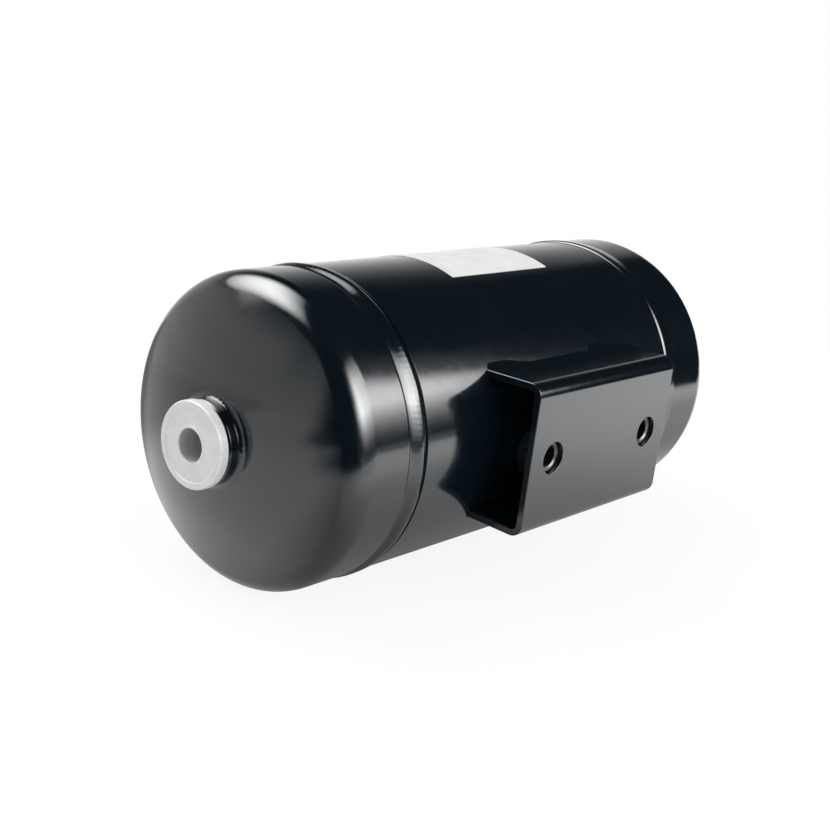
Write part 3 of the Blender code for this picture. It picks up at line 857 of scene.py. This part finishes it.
def parts_of(tree, vector):
    """The X, Y and Z of a vector."""
    split = tree.nodes.new("ShaderNodeSeparateXYZ")
    tree.links.new(vector, split.inputs[0])
    return split.outputs["X"], split.outputs["Y"], split.outputs["Z"]


def fade(tree, source, start, end, first=0.0, last=1.0):
    """A smooth change from first to last, as a value goes from start to end."""
    mapped = tree.nodes.new("ShaderNodeMapRange")
    mapped.interpolation_type = "SMOOTHSTEP"
    mapped.inputs["From Min"].default_value = start
    mapped.inputs["From Max"].default_value = end
    mapped.inputs["To Min"].default_value = first
    mapped.inputs["To Max"].default_value = last
    tree.links.new(source, mapped.inputs["Value"])
    return mapped.outputs["Result"]


def within(tree, place, middle, half, soft):
    """One for places whose azimuth is less than half away from the middle, with soft edges."""
    rotate = tree.nodes.new("ShaderNodeVectorRotate")
    rotate.rotation_type = "Z_AXIS"
    rotate.inputs["Angle"].default_value = math.radians(-middle)
    tree.links.new(place, rotate.inputs["Vector"])
    x, y, _ = parts_of(tree, rotate.outputs[0])
    away = operate(tree, "ABSOLUTE", operate(tree, "DEGREES", operate(tree, "ARCTAN2", y, x)))
    return fade(tree, away, half - soft, half + soft, 1.0, 0.0)


def seen_by_eye(tree):
    """One for camera, glossy and transmission rays, and zero for the rest."""
    path = tree.nodes.new("ShaderNodeLightPath")
    seen = path.outputs["Is Camera Ray"]
    for name in ("Is Glossy Ray", "Is Transmission Ray"):
        seen = operate(tree, "MAXIMUM", seen, path.outputs[name])
    return seen


def grey(value):
    """A neutral colour."""
    return (value, value, value)


def greys(stops):
    """Stops of plain levels, as stops of neutral colours."""
    return [(at, grey(level)) for at, level in stops]


def add_noise(tree, coords, scale, detail):
    """Noise over a place."""
    noise = tree.nodes.new("ShaderNodeTexNoise")
    noise.inputs["Scale"].default_value = scale
    noise.inputs["Detail"].default_value = detail
    tree.links.new(coords, noise.inputs["Vector"])
    return noise.outputs["Fac"]


def add_ramp(tree, source, stops):
    """A colour ramp over a value, with (position, colour) stops."""
    ramp = tree.nodes.new("ShaderNodeValToRGB")
    elements = ramp.color_ramp.elements
    while len(elements) < len(stops):
        elements.new(0.5)
    for element, (position, colour) in zip(elements, stops):
        element.position = position
        element.color = (*colour, 1.0)
    tree.links.new(source, ramp.inputs["Fac"])
    return ramp.outputs["Color"]


def add_bump(tree, height, strength, distance):
    """A normal that follows the slopes of a height."""
    bump = tree.nodes.new("ShaderNodeBump")
    bump.inputs["Strength"].default_value = strength
    bump.inputs["Distance"].default_value = distance
    tree.links.new(height, bump.inputs["Height"])
    return bump.outputs["Normal"]


def add_colour_mix(tree, share):
    """A node that mixes its colours A and B by a share."""
    mix = tree.nodes.new("ShaderNodeMix")
    mix.data_type = "RGBA"
    tree.links.new(share, mix.inputs["Factor"])
    return mix


def new_material(name):
    """A node material, with its tree, the inputs of its Principled shader and object coordinates."""
    material = bpy.data.materials.new(name)
    material.use_nodes = True
    tree = material.node_tree
    coords = tree.nodes.new("ShaderNodeTexCoord").outputs["Object"]
    return material, tree, tree.nodes["Principled BSDF"].inputs, coords


def make_paint():
    """Gloss black paint: faint colour drift, fine orange peel and a dusting of dull specks."""
    material, tree, shader, coords = new_material("gloss_black_paint")
    drift = add_noise(tree, coords, *PAINT_DRIFT)
    tree.links.new(add_ramp(tree, drift, PAINT_COLOURS), shader["Base Color"])
    haze = add_noise(tree, coords, *PAINT_HAZE)
    tree.links.new(add_ramp(tree, haze, greys(PAINT_ROUGHNESS)), shader["Roughness"])
    peel = add_noise(tree, coords, *PAINT_PEEL)
    tree.links.new(add_bump(tree, peel, *PAINT_BUMP), shader["Normal"])
    shader["IOR"].default_value = PAINT_IOR
    return material


def make_plastic():
    """White moulded polyethylene: slightly see-through, satin, with faint flow marks, and painted shade that
    makes its cup darker.
    """
    material, tree, shader, coords = new_material("white_polyethylene")
    off_axis = tree.nodes.new("ShaderNodeVectorMath")
    off_axis.operation = "MULTIPLY_ADD"
    off_axis.inputs[1].default_value = (0.0, 1.0, 1.0)
    off_axis.inputs[2].default_value = (0.0, -AXIS.y, -AXIS.z)
    tree.links.new(coords, off_axis.inputs[0])
    radius = length_of(tree, off_axis.outputs[0])
    mouth = CUP_RADIUS + CUP_EDGE
    # Painted shade: inside the cup's mouth the plastic is drawn a darker grey, for the shade in the deep
    # recess.
    cup_shade = add_colour_mix(tree, fade(tree, radius, mouth - CUP_EDGE / 2, mouth, 1.0, 0.0))
    flow = add_noise(tree, coords, *PLASTIC_FLOW)
    tree.links.new(add_ramp(tree, flow, PLASTIC_COLOURS), cup_shade.inputs["A"])
    cup_shade.inputs["B"].default_value = PLASTIC_CUP_SHADE
    tree.links.new(cup_shade.outputs["Result"], shader["Base Color"])
    grain = add_noise(tree, coords, *PLASTIC_GRAIN)
    tree.links.new(add_ramp(tree, grain, greys(PLASTIC_ROUGHNESS)), shader["Roughness"])
    tree.links.new(add_bump(tree, grain, *PLASTIC_BUMP), shader["Normal"])
    shader["Subsurface Weight"].default_value = PLASTIC_DEPTH_SHARE
    shader["Subsurface Radius"].default_value = PLASTIC_DEPTH_RADIUS
    shader["Subsurface Scale"].default_value = PLASTIC_DEPTH
    return material


def make_steel():
    """Nut steel: bare and cut bright at the pilot in the bolt hole, black with overspray behind it."""
    material, tree, shader, coords = new_material("oversprayed_steel")
    _, depth, _ = parts_of(tree, coords)
    bare = fade(tree, depth, SHEET, SHEET + GUARD, 1.0, 0.0)
    spray = add_noise(tree, coords, *STEEL_SPRAY)
    colour = add_colour_mix(tree, bare)
    tree.links.new(add_ramp(tree, spray, STEEL_BLACKS), colour.inputs["A"])
    tree.links.new(add_ramp(tree, spray, greys(STEEL_BARE)), colour.inputs["B"])
    tree.links.new(colour.outputs["Result"], shader["Base Color"])
    tree.links.new(bare, shader["Metallic"])
    dull = add_ramp(tree, spray, greys(STEEL_ROUGHNESS))
    tree.links.new(operate(tree, "MULTIPLY_ADD", bare, -STEEL_POLISH, dull), shader["Roughness"])
    tree.links.new(add_bump(tree, spray, *STEEL_BUMP), shader["Normal"])
    shader["Specular IOR Level"].default_value = STEEL_GLOSS
    return material


def make_film():
    """Blank white label film with faint grey scuffs."""
    material, tree, shader, coords = new_material("white_film")
    scuff = add_noise(tree, coords, *FILM_SCUFF)
    tree.links.new(add_ramp(tree, scuff, FILM_COLOURS), shader["Base Color"])
    fibre = add_noise(tree, coords, *FILM_FIBRE)
    tree.links.new(add_ramp(tree, fibre, greys(FILM_ROUGHNESS)), shader["Roughness"])
    tree.links.new(add_bump(tree, fibre, *FILM_BUMP), shader["Normal"])
    shader["Specular IOR Level"].default_value = FILM_GLOSS
    return material


def new_plain_material(name, kind):
    """A node material that holds one shader of a kind and an output, joined up."""
    material = bpy.data.materials.new(name)
    material.use_nodes = True
    tree = material.node_tree
    tree.nodes.clear()
    out = tree.nodes.new("ShaderNodeOutputMaterial")
    shader = tree.nodes.new(kind)
    tree.links.new(shader.outputs[0], out.inputs["Surface"])
    return material, tree, shader


def blend_shaders(tree, share, first, second):
    """Show a blend of two shaders, with the share that the second has."""
    mix = tree.nodes.new("ShaderNodeMixShader")
    tree.links.new(share, mix.inputs[0])
    tree.links.new(first.outputs[0], mix.inputs[1])
    tree.links.new(second.outputs[0], mix.inputs[2])
    tree.links.new(mix.outputs[0], tree.nodes["Material Output"].inputs["Surface"])


def square(half):
    """A bmesh of one level square, from -half to half."""
    bm = bmesh.new()
    bmesh.ops.create_grid(bm, x_segments=1, y_segments=1, size=half)
    return bm


def add_stage_mesh(name, bm, material):
    """Make the bmesh an object of the stage."""
    mesh = bpy.data.meshes.new(name)
    bm.to_mesh(mesh)
    bm.free()
    mesh.materials.append(material)
    made = bpy.data.objects.new(name, mesh)
    bpy.context.collection.objects.link(made)
    return made


def only_mirrored(made):
    """Let a stage object show in reflections alone, so that it adds no light and no shadow."""
    made.visible_camera = False
    made.visible_diffuse = False
    made.visible_transmission = False
    made.visible_shadow = False


def make_floor():
    """A plain white floor. To the eye it is mostly a glow, and all glow away from the tank, so that only a
    part of it near the tank takes the shadow."""
    material, tree, white = new_plain_material("white_floor", "ShaderNodeBsdfDiffuse")
    white.inputs["Color"].default_value = (*grey(FLOOR_WHITE), 1.0)
    glow = tree.nodes.new("ShaderNodeEmission")
    away = length_of(tree, tree.nodes.new("ShaderNodeTexCoord").outputs["Object"])
    tree.links.new(fade(tree, away, *FLOOR_GLOW), glow.inputs["Strength"])
    share = fade(tree, away, *FLOOR_GLOW_SHARE)
    blend_shaders(tree, product_of(tree, share, seen_by_eye(tree)), white, glow)
    floor = add_stage_mesh("floor", square(FLOOR_SIZE / 2), material)
    floor.location = (AXIS.x, AXIS.y, FLOOR_Z)


def make_world():
    """White to the eye, and a plain level of light for the rest."""
    world = bpy.data.worlds.new("white_room")
    bpy.context.scene.world = world
    world.use_nodes = True
    tree = world.node_tree
    tree.nodes.clear()
    out = tree.nodes.new("ShaderNodeOutputWorld")
    white = tree.nodes.new("ShaderNodeBackground")
    white.inputs["Color"].default_value = (1.0, 1.0, 1.0, 1.0)
    strength = operate(tree, "MULTIPLY_ADD", seen_by_eye(tree), 1 - WORLD_LEVEL, WORLD_LEVEL)
    tree.links.new(strength, white.inputs["Strength"])
    tree.links.new(white.outputs[0], out.inputs["Surface"])


def make_room():
    """A dark dome that shows only in the gloss, open at the back to the white world."""
    material, tree, dark = new_plain_material("dark_room", "ShaderNodeEmission")
    place = tree.nodes.new("ShaderNodeTexCoord").outputs["Object"]
    _, _, height = parts_of(tree, place)
    rise = operate(tree, "ARCSINE", operate(tree, "DIVIDE", height, ROOM_RADIUS))
    rise = operate(tree, "DEGREES", rise)
    back = product_of(tree, within(tree, place, *BACKDROP_SECTOR), fade(tree, rise, *BACKDROP_FALL))
    spill = product_of(tree, within(tree, place, *SPILL_SECTOR), fade(tree, rise, *SPILL_FALL))
    window = product_of(tree, within(tree, place, *WINDOW_SECTOR), fade(tree, rise, *WINDOW_FALL))
    tree.links.new(sum_of(tree, window, ROOM_DARK), dark.inputs["Strength"])
    clear = tree.nodes.new("ShaderNodeBsdfTransparent")
    blend_shaders(tree, operate(tree, "MAXIMUM", back, spill), dark, clear)
    bm = bmesh.new()
    bmesh.ops.create_uvsphere(bm, u_segments=ROOM_SEGMENTS, v_segments=ROOM_SEGMENTS // 2,
                              radius=ROOM_RADIUS)
    room = add_stage_mesh("dark_room", bm, material)
    room.location = AXIS
    only_mirrored(room)


def make_sheet():
    """What the gloss shows of the floor, as a glow: painted shade under the tank, a painted bright sheet
    round it, and the dark room where the sheet ends before the bracket."""
    material, tree, glow = new_plain_material("floor_sheet", "ShaderNodeEmission")
    place = tree.nodes.new("ShaderNodeTexCoord").outputs["Object"]
    x, y, _ = parts_of(tree, place)
    along = operate(tree, "ABSOLUTE", x)
    beyond = operate(tree, "MAXIMUM", operate(tree, "SUBTRACT", along, SHEET_HALF_LENGTH), 0.0)
    away = hypotenuse(tree, product_of(tree, beyond, SHEET_END_PULL), y)
    ahead = operate(tree, "MULTIPLY_ADD", beyond, SHEET_OPEN_LEAN, y)
    open_end = product_of(tree, fade(tree, ahead, *SHEET_OPEN), fade(tree, along, *SHEET_OPEN_FROM))
    # Painted shade: the glow is dimmed under the tank, where its shadow falls on the floor.
    near = product_of(tree, fade(tree, away, *SHEET_SHADE), sum_of(tree, open_end, SHEET_PLAIN))
    near = sum_of(tree, near, fade(tree, x, *SHEET_REAR))
    aback = operate(tree, "MULTIPLY_ADD", along, SHEET_BACK_LEAN, y)
    back = sum_of(tree, fade(tree, aback, *SHEET_BACK), fade(tree, aback, *SHEET_FAR_BACK))
    near = product_of(tree, near, back, fade(tree, away, *SHEET_THIN))
    # Painted light: the glow is raised ahead of the tank, where the side lamp lights the floor.
    boost = product_of(tree, fade(tree, y, *SHEET_BOOST), fade(tree, x, *SHEET_BOOST_ALONG))
    level = sum_of(tree, near, fade(tree, y, *SHEET_FRONT), boost)
    off_centre = operate(tree, "SUBTRACT", x, SHEET_CENTRE)
    ring = hypotenuse(tree, off_centre, operate(tree, "DIVIDE", y, SHEET_STRETCH))
    ended = product_of(tree, fade(tree, ring, *SHEET_END), within(tree, place, *SHEET_END_SECTOR))
    gone = product_of(tree, fade(tree, ring, *SHEET_GONE), within(tree, place, *SHEET_GONE_SECTOR))
    ended = operate(tree, "MAXIMUM", ended, gone)
    window = within(tree, place, *WINDOW_SECTOR)
    behind = operate(tree, "MULTIPLY_ADD", window, WINDOW_LEVEL, ROOM_DARK)
    change = operate(tree, "SUBTRACT", behind, level)
    tree.links.new(operate(tree, "MULTIPLY_ADD", change, ended, level), glow.inputs["Strength"])
    sheet = add_stage_mesh("floor_sheet", square(ROOM_RADIUS), material)
    sheet.location = (AXIS.x, AXIS.y, FLOOR_Z + SHEET_HEIGHT)
    only_mirrored(sheet)


def direction(azimuth, elevation):
    """Unit vector from the tank, with its azimuth turned from +X towards +Y, in degrees."""
    a = math.radians(azimuth)
    e = math.radians(elevation)
    return Vector((math.cos(e) * math.cos(a), math.cos(e) * math.sin(a), math.sin(e)))


def add_lamp(name, towards, size, radiance):
    """A softbox that lights the tank but leaves its reflections to the cards."""
    way = direction(*towards)
    data = bpy.data.lights.new(name, "AREA")
    data.shape = "RECTANGLE"
    data.size, data.size_y = size
    data.energy = radiance * math.pi * size[0] * size[1]
    lamp = bpy.data.objects.new(name, data)
    lamp.location = AXIS + way * LIGHT_DISTANCE
    lamp.rotation_euler = way.to_track_quat("Z", "Y").to_euler()
    lamp.visible_glossy = False
    bpy.context.collection.objects.link(lamp)


def add_card(name, towards, roll, size, radiance, cut, across, upward):
    """A bright card that faces the tank and shows only in its gloss. It is graded across and upward, and
    its upper right corner is cut off softly."""
    material, tree, glow = new_plain_material(name, "ShaderNodeEmission")
    x, y, _ = parts_of(tree, tree.nodes.new("ShaderNodeTexCoord").outputs["Generated"])
    above = operate(tree, "MAXIMUM", operate(tree, "SUBTRACT", y, CARD_CUT_START), 0.0)
    spread = operate(tree, "MULTIPLY_ADD", above, cut, 1.0)
    aside = operate(tree, "SUBTRACT", x, CARD_CUT_PIVOT)
    column = operate(tree, "MULTIPLY_ADD", aside, spread, CARD_CUT_PIVOT)
    columns = add_ramp(tree, column, greys(across))
    rows = add_ramp(tree, y, greys(upward))
    tree.links.new(product_of(tree, columns, rows, radiance), glow.inputs["Strength"])
    card = add_stage_mesh(name, square(0.5), material)
    way = direction(*towards)
    card.location = AXIS + way * LIGHT_DISTANCE
    turn = way.to_track_quat("Z", "Y") @ Quaternion((0.0, 0.0, 1.0), math.radians(roll))
    card.rotation_euler = turn.to_euler()
    card.scale = (*size, 1.0)
    only_mirrored(card)


def make_lights():
    """Soft lamps at a plain level, and graded cards that stand for them in the gloss."""
    for name, lamp in LAMPS.items():
        add_lamp(name, **lamp)
    for name, card in CARDS.items():
        add_card(name, **card)


def make_camera():
    """The photograph's view. In it the tank lies rolled a little about its own axis."""
    ahead = Vector((
        math.cos(PHOTO_ELEVATION) * math.cos(PHOTO_AZIMUTH),
        math.cos(PHOTO_ELEVATION) * math.sin(PHOTO_AZIMUTH),
        -math.sin(PHOTO_ELEVATION),
    ))
    right = ahead.cross(Vector((0, 0, 1))).normalized()
    up = right.cross(ahead)
    roll = Matrix.Rotation(-TANK_ROLL, 3, "X")
    aim = AXIS + roll @ Vector((PHOTO_AIM_OUT, 0.0, PHOTO_AIM_UP)) * SHELL_RADIUS
    place = aim - roll @ ahead * PHOTO_DISTANCE * SHELL_RADIUS
    turn = Matrix((roll @ right, roll @ up, roll @ -ahead)).transposed()
    data = bpy.data.cameras.new("camera")
    data.sensor_width = SENSOR
    data.lens = FOCAL_PIXELS / IMAGE_PIXELS * SENSOR
    data.shift_x = -HALF_PIXEL
    data.shift_y = HALF_PIXEL
    camera = bpy.data.objects.new("camera", data)
    camera.matrix_world = Matrix.Translation(place) @ turn.to_4x4()
    bpy.context.collection.objects.link(camera)
    bpy.context.scene.camera = camera


def main():
    """Build every piece, then the stage and the camera."""
    paint = make_paint()
    plastic = make_plastic()
    steel = make_steel()
    film = make_film()
    make_shell(paint)
    make_shell_weld(paint)
    make_label(film)
    make_bracket(paint)
    for end, side in SIDES:
        make_head(end, side, paint)
        make_seam_weld(end, side, paint)
        make_boss(end, side, paint)
        make_boss_weld(end, side, paint)
        make_plug(end, side, plastic)
        make_nut(end, steel)
        for level_name, level in LEVELS:
            make_stitch_weld(level_name, level, end, paint)
    make_floor()
    make_world()
    make_room()
    make_sheet()
    make_lights()
    make_camera()
    bpy.context.scene.view_settings.view_transform = "Standard"


main()
